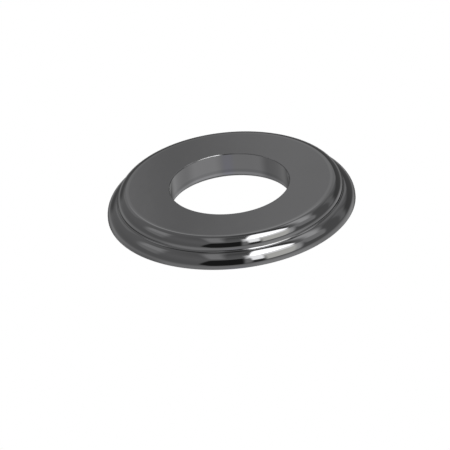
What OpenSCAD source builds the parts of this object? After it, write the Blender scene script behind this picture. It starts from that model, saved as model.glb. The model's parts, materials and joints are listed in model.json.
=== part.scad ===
// Shower arm flange: a low ring that slides along a shower arm and hides the hole in the wall.
// It is turned in one piece. Z = 0 is the wall and +Z points into the room, along the arm.

/* [Lower tier] */
// Outer diameter of the ring, at the wall
outer_d = 45; // [43:0.5:55]
// Height of the straight foot under the lower round
foot_h = 0.35; // [0.3:0.05:1]
// Radius of the lower quarter round
lower_round = 2.3; // [1.8:0.05:2.6]
// Radius that breaks the foot's edge at the wall
foot_break = 0.17; // [0.05:0.01:0.25]

/* [Upper tier] */
// How far the upper tier's wall stands back from the foot's
step_w = 2.075; // [1.5:0.025:3]
// Height of the straight wall between the step fillet and the upper round
wall_h = 0.1; // [0.05:0.05:2]
// Radius of the upper quarter round
upper_round = 1.85; // [0.5:0.05:2.5]
// Radius of the fillet in the step between the tiers
step_fillet = 0.31; // [0.1:0.01:0.4]

/* [Bore] */
// Diameter of the straight bore, with room for an arm of 21.3 mm
bore_d = 21.8; // [16:0.1:26]
// Radius that breaks the bore's edge in the flat front
front_break = 0.15; // [0.05:0.05:0.5]
// Radius that eases the bore's edge at the wall
wall_round = 0.7; // [0.2:0.05:1]

/* [Back] */
// Depth of the ring-shaped relief in the back
relief_depth = 1.5; // [0.5:0.1:1.8]
// Width of the flat seat inside the rim
seat_w = 2.8; // [2:0.1:4]
// Thickness of the collar between the bore and the relief
collar_w = 2.2; // [1.5:0.1:3]
// Radius in the inner corners of the relief
relief_fillet = 0.5; // [0.1:0.05:0.5]
// Radius that breaks the relief's edges at the wall
edge_break = 0.1; // [0.05:0.05:0.3]

/* [Hidden] */
$fn = 240;

// How far a cut runs past the face that it opens
over = 1;
// How far the step fillet's circle sinks into what it touches, so that rounding leaves no gap
dip = 0.00002;

outer_r = outer_d / 2;
upper_r = outer_r - step_w;
bore_r = bore_d / 2;

// Centre of the lower round
lower_x = outer_r - lower_round;

// Centre of the step fillet, which touches the upper tier's wall and the lower round
fillet_x = upper_r + step_fillet;
// Its distance outside the lower round's centre, or none where the ledge is flat
offset_x = max(fillet_x - lower_x, 0);
fillet_z = foot_h + sqrt(pow(lower_round + step_fillet, 2) - pow(offset_x, 2)) - dip;
flange_h = fillet_z + wall_h + upper_round;

relief_in_r = bore_r + collar_w;
relief_out_r = outer_r - seat_w;

// What a corner loses when it is rounded; the round's centre is the origin
module corner_waste(r) {
    difference() {
        square(r + over);
        circle(r);
    }
}

module lower_tier() {
    difference() {
        square([outer_r, foot_h + lower_round]);
        translate([lower_x, foot_h]) corner_waste(lower_round);
        translate([outer_r - foot_break, foot_break]) mirror([0, 1]) corner_waste(foot_break);
    }
}

module upper_tier() {
    difference() {
        square([upper_r, flange_h]);
        translate([upper_r - upper_round, flange_h - upper_round]) corner_waste(upper_round);
    }
}

// The slanted side joins the two centres, so it crosses both rounds where they touch
module step_fill() {
    difference() {
        polygon([
            [upper_r - over, foot_h],
            [fillet_x - offset_x, foot_h],
            [fillet_x, fillet_z],
            [upper_r - over, fillet_z],
        ]);
        translate([fillet_x, fillet_z]) circle(step_fillet);
    }
}

module bore() {
    translate([0, -over]) square([bore_r, flange_h + 2 * over]);
    translate([bore_r + front_break, flange_h - front_break]) mirror([1, 0]) corner_waste(front_break);
    translate([bore_r + wall_round, wall_round]) rotate(180) corner_waste(wall_round);
}

module relief() {
    difference() {
        translate([relief_in_r, -over]) square([relief_out_r - relief_in_r, relief_depth + over]);
        translate([relief_out_r - relief_fillet, relief_depth - relief_fillet]) corner_waste(relief_fillet);
        translate([relief_in_r + relief_fillet, relief_depth - relief_fillet])
            mirror([1, 0]) corner_waste(relief_fillet);
    }
    translate([relief_out_r + edge_break, edge_break]) rotate(180) corner_waste(edge_break);
    translate([relief_in_r - edge_break, edge_break]) mirror([0, 1]) corner_waste(edge_break);
}

// Half of the ring's section: X is the distance from the axis and Y the height above the wall
module section() {
    difference() {
        union() {
            lower_tier();
            upper_tier();
            step_fill();
        }
        bore();
        relief();
    }
}

module flange() {
    color([0.30, 0.30, 0.32]) rotate_extrude() section();
}

flange();
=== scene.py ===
import json
import math
import bpy
import numpy as np
from mathutils import Matrix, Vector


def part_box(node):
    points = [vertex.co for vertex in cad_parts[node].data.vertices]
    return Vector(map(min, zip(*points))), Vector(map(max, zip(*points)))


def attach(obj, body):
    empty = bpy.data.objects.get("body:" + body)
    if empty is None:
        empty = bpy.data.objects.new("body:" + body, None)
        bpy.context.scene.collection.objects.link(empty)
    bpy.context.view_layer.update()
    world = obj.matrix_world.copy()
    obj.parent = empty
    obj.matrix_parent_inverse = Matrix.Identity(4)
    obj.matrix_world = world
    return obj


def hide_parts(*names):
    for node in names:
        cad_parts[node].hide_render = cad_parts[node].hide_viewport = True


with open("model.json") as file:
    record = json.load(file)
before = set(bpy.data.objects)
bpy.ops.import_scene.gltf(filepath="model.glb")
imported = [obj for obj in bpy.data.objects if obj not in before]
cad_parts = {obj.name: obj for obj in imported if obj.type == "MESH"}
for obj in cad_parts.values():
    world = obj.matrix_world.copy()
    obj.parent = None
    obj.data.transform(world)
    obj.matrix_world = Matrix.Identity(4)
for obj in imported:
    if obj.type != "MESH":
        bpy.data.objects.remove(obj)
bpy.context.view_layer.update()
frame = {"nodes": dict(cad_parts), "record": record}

print("frame loaded, nodes:", sorted(frame["nodes"]))

millimetre = 0.001   # in metres, the unit of every object here


def addObject(name, data):
    thing = bpy.data.objects.new(name, data)
    bpy.context.scene.collection.objects.link(thing)
    return thing


# The camera looks down at the ring from the front, with a small roll; lengths in metres
cameraSetup = {
    "elevation": 29.85,             # degrees above the horizon
    "roll": 5.90,                   # degrees, the ring's right side comes up
    "pixelsPerMetre": 5529.5,       # at the ring's own origin
    "imageSide": 450,
    "originAt": (231.71, 206.78),   # where the ring's own origin falls in the image, in pixels
    "distance": 1.36,
    "clip": (0.005, 5),
}


def makeCamera(setup):
    # Axes of a level camera, then turned about the line of sight
    lift, roll = math.radians(setup["elevation"]), math.radians(setup["roll"])
    back = np.array([0, -math.cos(lift), math.sin(lift)])
    levelRight = np.array([1.0, 0, 0])
    levelUp = np.array([0, math.sin(lift), math.cos(lift)])
    right = math.cos(roll) * levelRight - math.sin(roll) * levelUp
    up = math.sin(roll) * levelRight + math.cos(roll) * levelUp
    half = setup["imageSide"] / 2
    acrossShift = (half - setup["originAt"][0]) / setup["pixelsPerMetre"]
    upShift = (setup["originAt"][1] - half) / setup["pixelsPerMetre"]
    place = back * setup["distance"] + right * acrossShift + up * upShift
    data = bpy.data.cameras.new("photoCamera")
    data.angle = 2 * math.atan(half / setup["pixelsPerMetre"] / setup["distance"])
    data.clip_start, data.clip_end = setup["clip"]
    camera = addObject("photoCamera", data)
    matrix = np.eye(4)
    matrix[:3, 0], matrix[:3, 1], matrix[:3, 2], matrix[:3, 3] = right, up, back, place
    camera.matrix_world = Matrix(matrix.tolist())
    bpy.context.scene.camera = camera


makeCamera(cameraSetup)
print("camera made")


class Wire:
    # One output socket; sums, products, powers and comparisons of it add Math nodes

    def __init__(self, tree, socket):
        self.tree = tree
        self.socket = socket

    def join(self, operation, first, second):
        node = self.tree.nodes.new("ShaderNodeMath")
        node.operation = operation
        for index, value in enumerate((first, second)):
            if isinstance(value, Wire):
                self.tree.links.new(value.socket, node.inputs[index])
            else:
                node.inputs[index].default_value = value
        return Wire(self.tree, node.outputs[0])

    def __add__(self, other):
        return self.join("ADD", self, other)

    def __radd__(self, other):
        return self.join("ADD", other, self)

    def __sub__(self, other):
        return self.join("SUBTRACT", self, other)

    def __rsub__(self, other):
        return self.join("SUBTRACT", other, self)

    def __mul__(self, other):
        return self.join("MULTIPLY", self, other)

    def __rmul__(self, other):
        return self.join("MULTIPLY", other, self)

    def __truediv__(self, other):
        return self.join("DIVIDE", self, other)

    def __rtruediv__(self, other):
        return self.join("DIVIDE", other, self)

    def __pow__(self, other):
        return self.join("POWER", self, other)

    def __rpow__(self, other):
        return self.join("POWER", other, self)

    def __lt__(self, other):
        return self.join("LESS_THAN", self, other)

    def __gt__(self, other):
        return self.join("GREATER_THAN", self, other)


class Wiring:
    # A material's or the world's tree, emptied, with one way to add a node

    def __init__(self, owner):
        owner.use_nodes = True
        self.tree = owner.node_tree
        self.tree.nodes.clear()

    def node(self, kind, settings=None, inputs=None, output=0):
        node = self.tree.nodes.new(kind)
        for name, value in (settings or {}).items():
            if name == "stops":
                self.setStops(node.color_ramp, value)
            else:
                setattr(node, name, value)
        for name, value in (inputs or {}).items():
            if isinstance(value, Wire):
                self.tree.links.new(value.socket, node.inputs[name])
            else:
                node.inputs[name].default_value = value
        if not node.outputs:
            return None
        return Wire(self.tree, node.outputs[output])

    def setStops(self, ramp, stops):
        while len(ramp.elements) < len(stops):
            ramp.elements.new(0.5)
        for element, (position, grey) in zip(ramp.elements, stops):
            element.position = position
            element.color = (grey, grey, grey, 1)

    def mixColour(self, factor, first, second):
        # Colour Mix node: its colour inputs are the seventh and eighth sockets
        return self.node("ShaderNodeMix", {"data_type": "RGBA"}, {0: factor, 6: first, 7: second}, 2)

    def split(self, vector):
        # The vector's x, y and z as three values
        separate = self.node("ShaderNodeSeparateXYZ", None, {0: vector}).socket.node
        return [Wire(self.tree, socket) for socket in separate.outputs]


# Sizes of the turned ring in millimetres; what the frame knows comes from the frame
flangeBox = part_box("flange")
boreMount = [mount for mount in frame["record"]["mounts"] if mount["name"] == "bore"][0]
ringSizes = {
    "outerRadius": flangeBox[1].x / millimetre,
    "height": flangeBox[1].z / millimetre,
    "boreRadius": boreMount["dims"]["r_mm"],
    "footHeight": 0.35,
    "lowerRound": 2.3,
    "footBreak": 0.17,
    "upperRadius": 20.425,
    "upperRound": 1.85,
    "stepFillet": 0.31,
    "frontBreak": 0.15,
    "wallRound": 0.7,
    "reliefDepth": 1.5,
    "seatWidth": 2.8,
    "collarWidth": 2.2,
    "reliefFillet": 0.5,
    "edgeBreak": 0.1,
    # how many straight bits each kind of arc or flat has
    "roundSteps": 30,
    "boreEndSteps": 14,
    "filletSteps": 10,
    "breakSteps": 8,
    "fineSteps": 4,
    "frontSteps": 3,
    "flatSteps": 2,
    "segments": 640,   # round the axis
}


def arcStroke(centreR, centreZ, radius, startDegrees, endDegrees, steps, hollow=False):
    # Point = centre + radius * (cosine, sine) of the angle.
    # The normal points away from the centre, or towards it where the corner is hollow.
    angle = np.radians(np.linspace(startDegrees, endDegrees, steps + 1))
    side = -1.0 if hollow else 1.0
    return np.stack([
        centreR + radius * np.cos(angle),
        centreZ + radius * np.sin(angle),
        side * np.cos(angle),
        side * np.sin(angle),
    ], axis=1)


def flatStroke(startR, startZ, endR, endZ, steps=1):
    # Point = start + share * (end - start); the normal is the direction of travel turned clockwise
    share = np.linspace(0, 1, steps + 1)
    length = math.hypot(endR - startR, endZ - startZ)
    normalR, normalZ = (endZ - startZ) / length, -(endR - startR) / length
    return np.stack([
        startR + share * (endR - startR),
        startZ + share * (endZ - startZ),
        np.full(steps + 1, normalR),
        np.full(steps + 1, normalZ),
    ], axis=1)


def ringSection(s):
    # The closed section, from the foot up over both tiers, down the bore and through the relief in the back
    outer, upper, bore = s["outerRadius"], s["upperRadius"], s["boreRadius"]
    foot, low, high = s["footHeight"], s["lowerRound"], s["upperRound"]
    fillet, front, wall, top = s["stepFillet"], s["frontBreak"], s["wallRound"], s["height"]
    reliefIn, reliefOut = bore + s["collarWidth"], outer - s["seatWidth"]
    depth, corner, heel, edge = s["reliefDepth"], s["reliefFillet"], s["footBreak"], s["edgeBreak"]
    roundSteps, boreEndSteps, filletSteps = s["roundSteps"], s["boreEndSteps"], s["filletSteps"]
    breakSteps, fineSteps, frontSteps, flatSteps = (
        s["breakSteps"], s["fineSteps"], s["frontSteps"], s["flatSteps"])
    # The step fillet touches the upper wall and the lower round
    lowR = outer - low
    filletR = upper + fillet
    reach = max(filletR - lowR, 0)
    filletZ = foot + math.sqrt((low + fillet) ** 2 - reach ** 2)
    touch = math.degrees(math.asin(reach / (low + fillet)))
    return [
        flatStroke(reliefOut + edge, 0, outer - heel, 0),
        arcStroke(outer - heel, heel, heel, -90, 0, breakSteps),
        flatStroke(outer, heel, outer, foot),
        arcStroke(lowR, foot, low, 0, 90 - touch, roundSteps),
        arcStroke(filletR, filletZ, fillet, 270 - touch, 180, filletSteps, hollow=True),
        flatStroke(upper, filletZ, upper, top - high),
        arcStroke(upper - high, top - high, high, 0, 90, roundSteps),
        flatStroke(upper - high, top, bore + front, top, frontSteps),
        arcStroke(bore + front, top - front, front, 90, 180, breakSteps),
        flatStroke(bore, top - front, bore, wall, flatSteps),
        arcStroke(bore + wall, wall, wall, 180, 270, boreEndSteps),
        flatStroke(bore + wall, 0, reliefIn - edge, 0),
        arcStroke(reliefIn - edge, edge, edge, -90, 0, fineSteps),
        flatStroke(reliefIn, edge, reliefIn, depth - corner),
        arcStroke(reliefIn + corner, depth - corner, corner, 180, 90, breakSteps, hollow=True),
        flatStroke(reliefIn + corner, depth, reliefOut - corner, depth, flatSteps),
        arcStroke(reliefOut - corner, depth - corner, corner, 90, 0, breakSteps, hollow=True),
        flatStroke(reliefOut, depth - corner, reliefOut, edge),
        arcStroke(reliefOut + edge, edge, edge, 180, 270, fineSteps),
    ]


def turnAngles(segments):
    # Evenly spaced angles round the axis, in radians
    return np.arange(segments) * 2 * math.pi / segments


def turnedPoints(radii, heights, segments):
    # Each section point goes round the axis: x = r cos t, y = r sin t, z = height
    turn = turnAngles(segments)
    return np.stack([
        np.outer(radii, np.cos(turn)),
        np.outer(radii, np.sin(turn)),
        np.outer(heights, np.ones(segments)),
    ], axis=2).reshape(-1, 3)


def turnedFaces(rowCount, segments, closed):
    # Each face joins a point to its neighbours in the next column and row.
    # A closed section's last row meets its first.
    faceRows = rowCount if closed else rowCount - 1
    row, column = np.meshgrid(np.arange(faceRows), np.arange(segments), indexing="ij")
    nextRow, nextColumn = (row + 1) % rowCount, (column + 1) % segments
    corners = ((row, column), (row, nextColumn), (nextRow, nextColumn), (nextRow, column))
    return np.stack([(r * segments + c).ravel() for r, c in corners], axis=1)


def turnedMesh(name, strokes, segments):
    # Neighbouring strokes share their meeting points, so the skin is closed
    starts = np.concatenate([stroke[:-1] for stroke in strokes])
    ends = np.concatenate([stroke[1:] for stroke in strokes])
    rowCount = len(starts)
    mesh = bpy.data.meshes.new(name)
    points = turnedPoints(starts[:, 0], starts[:, 1], segments) * millimetre
    mesh.from_pydata(points, [], turnedFaces(rowCount, segments, closed=True))
    # Exact normals of the strokes, so the mirror finish shows no facets
    normalR = np.stack([starts[:, 2], starts[:, 2], ends[:, 2], ends[:, 2]], axis=1)
    normalZ = np.stack([starts[:, 3], starts[:, 3], ends[:, 3], ends[:, 3]], axis=1)
    turn = turnAngles(segments)
    cornerTurn = np.stack([turn, np.roll(turn, -1), np.roll(turn, -1), turn], axis=1)
    normals = np.stack([
        normalR[:, None, :] * np.cos(cornerTurn)[None],
        normalR[:, None, :] * np.sin(cornerTurn)[None],
        np.broadcast_to(normalZ[:, None, :], (rowCount, segments, 4)),
    ], axis=3).reshape(-1, 3)
    mesh.polygons.foreach_set("use_smooth", np.ones(len(mesh.polygons), bool))
    mesh.normals_split_custom_set(normals)
    mesh.validate()
    return mesh


# Finish of the plated metal, with a painted highlight line and painted reflection lines; lengths in
# millimetres, colours linear
nickelFinishAndPaintedLines = {
    "colour": (0.160, 0.160, 0.163, 1),
    "deepColour": (0.146, 0.146, 0.149, 1),
    "cloudSize": 9.0,                           # slow changes in the plating's depth
    "cloudDetail": 3.0,
    "roughness": 0.045,
    "roughnessSwing": 0.03,
    "hazeSize": 2.5,
    "hazeDetail": 4.0,
    "polishSize": 3.0,                          # waviness left by the polishing wheel
    "polishDetail": 1.0,
    "polishHeight": 0.008,
    "turningPitch": 0.12,                       # the finest lines left by the lathe
    "turningDetail": 2.0,
    "turningHeight": 0.00004,
    "buffedColour": (0.182, 0.182, 0.185, 1),   # painted highlight: a paler line where the flat front turns into the round
    "buffedRadius": 18.5,
    "buffedWidth": 0.35,
    "buffedHeights": (4.5, 4.7),                # the line fades in from the first to the second
    "boreLimit": 11.7,                          # the painted reflection lines stay inside this radius
    "boreLines": [                              # painted reflection lines, dark and pale, near the bore's wall end: height, half width and colour
        (1.4, 0.4, (0.132, 0.132, 0.136, 1)),
        (0.8, 0.33, (0.2, 0.2, 0.207, 1)),
        (0.25, 0.35, (0.06, 0.06, 0.062, 1)),
    ],
}
noiseMiddle = 0.5   # noise runs from 0 to 1


def noise(wiring, place, size, detail):
    # Soft noise with lumps of about the given size
    return wiring.node("ShaderNodeTexNoise", {"noise_dimensions": "3D"},
                       {"Vector": place, "Scale": 1 / size, "Detail": detail})


def lineMask(wiring, value, middle, halfWidth):
    # 1 in the middle and 0 from the half width on, along a smooth curve of the squared distance
    apart = (value - middle) / halfWidth
    return wiring.node("ShaderNodeMapRange", {"interpolation_type": "SMOOTHSTEP"},
                       {"Value": apart * apart, "From Min": 1.0, "From Max": 0.0})


# The plating's tone with its slow clouds, with the painted highlight line and the painted reflection lines
# laid over it
def nickelColourAndPaintedLines(wiring, finish, place, radius, z):
    cloud = noise(wiring, place, finish["cloudSize"], finish["cloudDetail"])
    colour = wiring.mixColour(cloud, finish["colour"], finish["deepColour"])
    # Painted highlight: a paler line round the edge of the flat front, only near the top
    highlightLine = lineMask(wiring, radius, finish["buffedRadius"], finish["buffedWidth"])
    below, above = finish["buffedHeights"]
    front = wiring.node("ShaderNodeMapRange", None, {"Value": z, "From Min": below, "From Max": above})
    colour = wiring.mixColour(highlightLine * front, colour, finish["buffedColour"])
    # Painted reflection: dark and pale lines on the bore wall near its wall end
    inBore = radius < finish["boreLimit"]
    for lineHeight, halfWidth, lineColour in finish["boreLines"]:
        line = lineMask(wiring, z, lineHeight, halfWidth)
        colour = wiring.mixColour(line * inBore, colour, lineColour)
    return colour


def makeNickel(finish):
    material = bpy.data.materials.new("polishedBlackNickel")
    wiring = Wiring(material)
    inMetres = wiring.node("ShaderNodeTexCoord", output="Object")
    place = wiring.node("ShaderNodeVectorMath", {"operation": "SCALE"},
                        {0: inMetres, "Scale": 1 / millimetre})
    x, y, z = wiring.split(place)
    radius = (x * x + y * y) ** 0.5
    haze = noise(wiring, place, finish["hazeSize"], finish["hazeDetail"])
    wave = noise(wiring, place, finish["polishSize"], finish["polishDetail"])
    turning = wiring.node("ShaderNodeTexNoise", {"noise_dimensions": "1D"}, {
        "W": (radius + z) / finish["turningPitch"],
        "Scale": 1.0,
        "Detail": finish["turningDetail"],
    })
    # The haze swings about its middle, and more so on the turning lines
    hazeSwing = finish["roughnessSwing"] * (haze - noiseMiddle)
    roughness = finish["roughness"] + hazeSwing * (noiseMiddle + turning)
    waveHeight = finish["polishHeight"] * millimetre
    turningHeight = finish["turningHeight"] * millimetre
    bump = wiring.node("ShaderNodeBump", None, {
        "Strength": 1.0,
        "Distance": 1.0,
        "Height": wave * waveHeight + turning * turningHeight,
    })
    shader = wiring.node("ShaderNodeBsdfPrincipled", None, {
        "Base Color": nickelColourAndPaintedLines(wiring, finish, place, radius, z),
        "Metallic": 1.0,
        "Roughness": roughness,
        "Normal": bump,
    })
    wiring.node("ShaderNodeOutputMaterial", None, {"Surface": shader})
    return material


ringMesh = turnedMesh("flangeRing", ringSection(ringSizes), ringSizes["segments"])
ring = addObject("flangeRing", ringMesh)
ring.data.materials.append(makeNickel(nickelFinishAndPaintedLines))
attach(ring, "root")
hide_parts("flange")
print("ring made,", len(ringMesh.polygons), "faces")

# The light tent: a large sphere that only reflections see. Directions are (azimuth, elevation) in degrees,
# azimuth 0 is to the right and 270 towards the camera.
lightTent = {
    "radius": 0.5,     # in metres
    "rings": 48,       # from nadir to zenith
    "segments": 96,    # round the axis
    # brightness by height, as (elevation, brightness)
    "heights": [(-90, 0.9), (-40, 1.0), (-28, 0.9), (-17, 0.95), (-9, 0.74), (-4, 0.56), (2, 0.47),
                (15, 0.47), (30, 0.52), (45, 0.56), (62, 0.5), (78, 0.43), (90, 0.32)],
    # name, corners, softness in degrees, brightness; a later card lies over an earlier one
    "cards": [
        ("floorGlow", [(284, -45), (356, -45), (340, -11), (286, -10)], 22, 1.18),
        ("blueCast", [(260, -42), (279, -42), (279, -27), (260, -27)], 12, 0.94),
        ("lowLeft", [(112, -50), (197, -44), (197, -12), (124, -12)], 20, 0.6),
        ("rightSide", [(328, -3), (50, -3), (48, 46), (330, 40)], 8, 0.38),
        ("rightPane", [(15, 4), (24, 0), (50, 38), (38, 42)], 6, 0.6),
        ("backHorizon", [(27, -3), (125, -3), (122, 15), (32, 22)], 10, 0.22),
        ("farLow", [(52, -48), (132, -48), (126, -8), (52, -8)], 30, 0.13),
        ("backLight", [(64, 24), (90, 22), (90, 46), (56, 48)], 4, 0.71),
        ("backLeft", [(92.8, 26), (112, 24), (124, 38), (92.8, 44)], 2.5, 0.7),
        ("farLine", [(84, 33), (101, 32), (102, 41), (84, 43)], 3, 1.1),
        ("backGlow", [(74, 37), (89, 36), (89, 50), (71, 51)], 6, 1.1),
        ("sidePane", [(337, 22), (356, 13), (3, 26), (11, 41), (350, 49), (338, 43)], 6, 0.9),
        ("rightArc", [(3, 40), (62, 54), (60, 63), (353, 49)], 8, 1.65),
        ("darkSpan", [(88, 55), (350, 57.5), (352, 61.5), (100, 65)], 3, 0.22),
        ("paneLow", [(157, 38), (169, 25), (194, 22), (187, 46)], 8, 0.8),
        ("leftPane", [(153, 60), (140, 49), (160, 37), (186, 45)], 7, 1.1),
        ("paleStripe", [(104, 73.5), (256, 52), (239.5, 50.5), (129.5, 72)], 5, 1.0),
        ("blackFlag", [(237, 5), (246, -5), (275.5, -4), (277, 44), (243, 40)], 4, 0.055),
        ("rimStrip", [(276.5, 4), (283, 4), (285, 42), (278, 42)], 3, 0.8),
        ("rimTop", [(278.5, 38), (285, 38), (286, 66), (281, 66)], 4, 3.0),
        ("dimEdge", [(312, 2), (327, 4), (341, 46), (322, 50)], 6, 1.5),
        ("dimPanel", [(295, 4), (320, 3), (336, 49), (297, 50)], 5, 2.3),
        ("softMid", [(297, 43), (328, 40), (338, 52), (300, 62)], 6, 4.0),
        ("darkCorner", [(283, -3), (294, -3), (294, 12), (283, 12)], 5, 0.1),
        ("softbox", [(283.2, 19), (293.5, 17), (301, 60), (283.2, 60)], 3, 5.0),
        ("softboxTop", [(284.5, 55), (300, 55), (336, 51), (343, 53), (50, 76), (56, 79), (337, 83.5),
                        (300, 77)], 3, 7.0),
        ("softCore", [(291, 55), (322, 57), (336, 60), (330, 68), (306, 73), (290, 66)], 4, 13.0),
    ],
    # the cards that aren't white
    "tints": {
        "blueCast": (0.96, 0.96, 1.08),
        "dimPanel": (1, 0.995, 0.94),
    },
}


def directionOf(azimuth, elevation):
    # The unit vector: cosine of the elevation round the compass, its sine upwards
    a, e = math.radians(azimuth), math.radians(elevation)
    return np.array([math.cos(e) * math.cos(a), math.cos(e) * math.sin(a), math.sin(e)])


def cardMask(wiring, direction, corners, softness):
    # A card is where a direction lies inside all planes through the centre and two neighbouring corners
    points = [directionOf(*corner) for corner in corners]
    middle = sum(points)
    reach = math.sin(math.radians(softness / 2))
    mask = None
    for first, second in zip(points, points[1:] + points[:1]):
        normal = np.cross(first, second)
        normal = normal / np.linalg.norm(normal)
        if normal @ middle < 0:
            normal = -normal
        side = wiring.node("ShaderNodeVectorMath", {"operation": "DOT_PRODUCT"},
                           {0: direction, 1: tuple(normal)}, "Value")
        edge = wiring.node("ShaderNodeMapRange", {"interpolation_type": "SMOOTHSTEP"},
                           {"Value": side, "From Min": -reach, "From Max": reach})
        mask = edge if mask is None else mask * edge
    return mask


def tentMaterial(setup):
    # A grey ramp from nadir to zenith, by (sine of the elevation + 1) / 2.
    # The cards are laid over it one by one.
    material = bpy.data.materials.new("tentLight")
    wiring = Wiring(material)
    place = wiring.node("ShaderNodeTexCoord", output="Object")
    direction = wiring.node("ShaderNodeVectorMath", {"operation": "NORMALIZE"}, {0: place})
    upward = wiring.split(direction)[2]
    stops = [((math.sin(math.radians(elevation)) + 1) / 2, level) for elevation, level in setup["heights"]]
    light = wiring.node("ShaderNodeValToRGB", {"stops": stops}, {0: upward * 0.5 + 0.5})
    for name, corners, softness, level in setup["cards"]:
        mask = cardMask(wiring, direction, corners, softness)
        tint = setup["tints"].get(name, (1, 1, 1))
        light = wiring.mixColour(mask, light, tuple(level * part for part in tint) + (1,))
    shader = wiring.node("ShaderNodeEmission", None, {"Color": light, "Strength": 1.0})
    wiring.node("ShaderNodeOutputMaterial", None, {"Surface": shader})
    return material


def makeTent(setup):
    # A sphere as a turned half circle: r = cosine and z = sine of the latitude.
    # The poles are left out, and one flat face closes each end.
    rings, segments = setup["rings"], setup["segments"]
    lift = np.radians(np.linspace(-90, 90, rings + 1))[1:-1]
    points = setup["radius"] * turnedPoints(np.cos(lift), np.sin(lift), segments)
    faces = turnedFaces(len(lift), segments, closed=False).tolist()
    faces.append(list(range(segments - 1, -1, -1)))
    faces.append(list(range((len(lift) - 1) * segments, len(lift) * segments)))
    mesh = bpy.data.meshes.new("lightTent")
    mesh.from_pydata(points, [], faces)
    mesh.materials.append(tentMaterial(setup))
    tent = addObject("lightTent", mesh)
    for ray in ("camera", "diffuse", "transmission", "volume_scatter", "shadow"):
        setattr(tent, "visible_" + ray, False)


# The plain studio; lengths in metres
studioSetup = {
    "floorSide": 4.0,
    "floorDrop": 0.00005,   # keeps the sheet clear of the ring's back
    "white": 1.0,
}


def makeFloor(setup):
    # A plain white sheet, seen from above only, so the ring's back can be looked at from below
    material = bpy.data.materials.new("whiteFloor")
    wiring = Wiring(material)
    behind = wiring.node("ShaderNodeNewGeometry", output="Backfacing")
    sheet = wiring.node("ShaderNodeEmission", None, {"Color": (1, 1, 1, 1), "Strength": setup["white"]})
    clear = wiring.node("ShaderNodeBsdfTransparent")
    surface = wiring.node("ShaderNodeMixShader", None, {0: behind, 1: sheet, 2: clear})
    wiring.node("ShaderNodeOutputMaterial", None, {"Surface": surface})
    half, z = setup["floorSide"] / 2, -setup["floorDrop"]
    corners = [(-half, -half, z), (half, -half, z), (half, half, z), (-half, half, z)]
    mesh = bpy.data.meshes.new("studioFloor")
    mesh.from_pydata(corners, [], [(0, 1, 2, 3)])
    mesh.materials.append(material)
    floor = addObject("studioFloor", mesh)
    floor.visible_glossy = False


def makeWorld(setup):
    world = bpy.data.worlds.new("whiteStudio")
    wiring = Wiring(world)
    light = wiring.node("ShaderNodeBackground", None, {"Color": (1, 1, 1, 1), "Strength": setup["white"]})
    wiring.node("ShaderNodeOutputWorld", None, {"Surface": light})
    bpy.context.scene.world = world


makeTent(lightTent)
makeFloor(studioSetup)
makeWorld(studioSetup)
bpy.context.scene.view_settings.view_transform = "Standard"
print("studio made")
